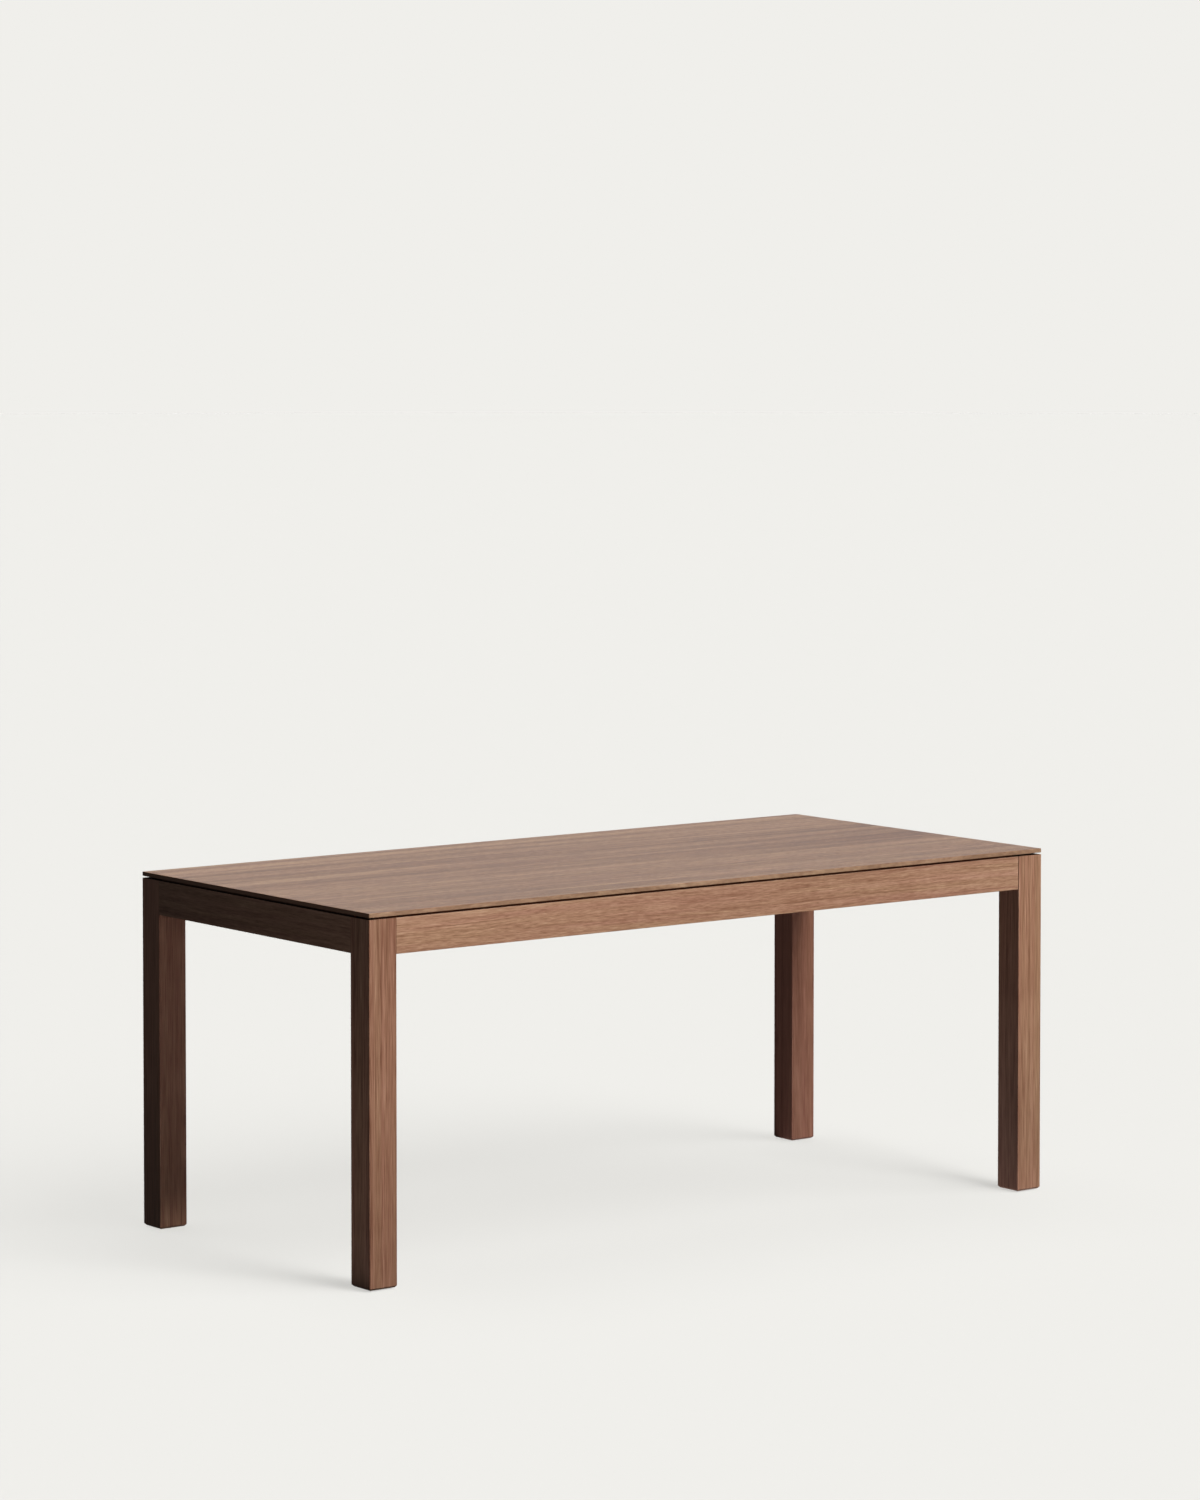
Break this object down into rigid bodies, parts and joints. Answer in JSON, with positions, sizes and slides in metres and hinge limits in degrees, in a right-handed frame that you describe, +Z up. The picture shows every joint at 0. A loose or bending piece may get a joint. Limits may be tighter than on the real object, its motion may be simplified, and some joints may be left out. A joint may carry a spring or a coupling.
{
  "type": "extending dining table",
  "caption": "Rectangular wooden dining table with square legs, a thin top over a shadow gap and a pull-out end that makes room for a loose leaf.",
  "frame": {"origin": "on the floor, under the middle of the closed table", "axes": "+Z up, +X along the table towards the end that pulls out, +Y from the long side shown in front towards the back"},
  "size_m": [1.8, 0.85, 0.76],
  "materials": {
    "walnut": "matt oiled walnut veneer",
    "dark_wood": "stained dark",
    "inner_wood": "plain sanded beech",
    "steel": "zinc plated",
    "brass": "plain",
    "nylon": "dark nylon",
    "rubber": "soft rubber",
    "felt": "dense felt"
  },
  "bodies": {
    "fixed_frame": {"apron_back": "walnut", "apron_front": "walnut", "bar_dowels_fixed": "inner_wood", "corner_block_back_left": "inner_wood", "corner_block_front_left": "inner_wood", "corner_bolts_fixed": "steel", "corner_nuts_fixed": "steel", "cross_rail_left": "inner_wood", "cross_rail_middle": "inner_wood", "dowels_fixed": "inner_wood", "end_rail_left": "walnut", "glide_back_left": "nylon", "glide_front_left": "nylon", "latch_keeper_back": "steel", "latch_keeper_front": "steel", "leg_back_left": "walnut", "leg_front_left": "walnut", "low_bar_middle": "inner_wood", "low_bar_right": "inner_wood", "main_top": "walnut", "pin_sleeves": "brass", "slide_outer_back": "steel", "slide_outer_front": "steel", "slide_screws_fixed": "steel", "spacer_back": "dark_wood", "spacer_end": "dark_wood", "spacer_front": "dark_wood", "top_screws": "steel"},
    "end_frame": {"bar_dowels_moving": "inner_wood", "bumpers": "rubber", "corner_block_back_right": "inner_wood", "corner_block_front_right": "inner_wood", "corner_bolts_moving": "steel", "corner_nuts_moving": "steel", "dowels_moving": "inner_wood", "end_rail_right": "walnut", "glide_back_right": "nylon", "glide_front_right": "nylon", "latch_pivots": "steel", "leaf_bar_left": "inner_wood", "leaf_bar_right": "inner_wood", "leaf_board": "walnut", "leaf_guides": "inner_wood", "leaf_pins": "brass", "leg_back_right": "walnut", "leg_front_right": "walnut", "rail_pads": "felt", "side_rail_back": "inner_wood", "side_rail_front": "inner_wood", "slide_inner_back": "steel", "slide_inner_front": "steel", "slide_screws_moving": "steel"},
    "slide_middle_front_body": {"slide_middle_front": "steel"},
    "slide_middle_back_body": {"slide_middle_back": "steel"},
    "outer_cage_front_body": {"outer_cage_front": "steel"},
    "outer_cage_back_body": {"outer_cage_back": "steel"},
    "inner_cage_front_body": {"inner_cage_front": "steel"},
    "inner_cage_back_body": {"inner_cage_back": "steel"},
    "latch_front_body": {"latch_front": "steel"},
    "latch_back_body": {"latch_back": "steel"}
  },
  "joints": [
    {"name": "end_extend", "type": "slide", "parent": "fixed_frame", "child": "end_frame", "axis": [1, 0, 0], "range_m": [0, 0.5]},
    {"name": "slide_middle_front_run", "type": "slide", "parent": "fixed_frame", "child": "slide_middle_front_body", "axis": [1, 0, 0], "range_m": [0, 0.25]},
    {"name": "outer_cage_front_run", "type": "slide", "parent": "fixed_frame", "child": "outer_cage_front_body", "axis": [1, 0, 0], "range_m": [0, 0.125]},
    {"name": "inner_cage_front_run", "type": "slide", "parent": "fixed_frame", "child": "inner_cage_front_body", "axis": [1, 0, 0], "range_m": [0, 0.375]},
    {"name": "latch_front_turn", "type": "hinge", "parent": "end_frame", "child": "latch_front_body", "pos_m": [0.79, -0.3793, 0.6932], "axis": [0, 0, 1], "range_deg": [0, 90]},
    {"name": "slide_middle_back_run", "type": "slide", "parent": "fixed_frame", "child": "slide_middle_back_body", "axis": [1, 0, 0], "range_m": [0, 0.25]},
    {"name": "outer_cage_back_run", "type": "slide", "parent": "fixed_frame", "child": "outer_cage_back_body", "axis": [1, 0, 0], "range_m": [0, 0.125]},
    {"name": "inner_cage_back_run", "type": "slide", "parent": "fixed_frame", "child": "inner_cage_back_body", "axis": [1, 0, 0], "range_m": [0, 0.375]},
    {"name": "latch_back_turn", "type": "hinge", "parent": "end_frame", "child": "latch_back_body", "pos_m": [0.79, 0.3793, 0.6932], "axis": [0, 0, -1], "range_deg": [0, 90]}
  ],
  "couplings": [
    {"joint": "slide_middle_front_run", "follows": "end_extend", "ratio": 0.5},
    {"joint": "outer_cage_front_run", "follows": "end_extend", "ratio": 0.25},
    {"joint": "inner_cage_front_run", "follows": "end_extend", "ratio": 0.75},
    {"joint": "slide_middle_back_run", "follows": "end_extend", "ratio": 0.5},
    {"joint": "outer_cage_back_run", "follows": "end_extend", "ratio": 0.25},
    {"joint": "inner_cage_back_run", "follows": "end_extend", "ratio": 0.75}
  ]
}
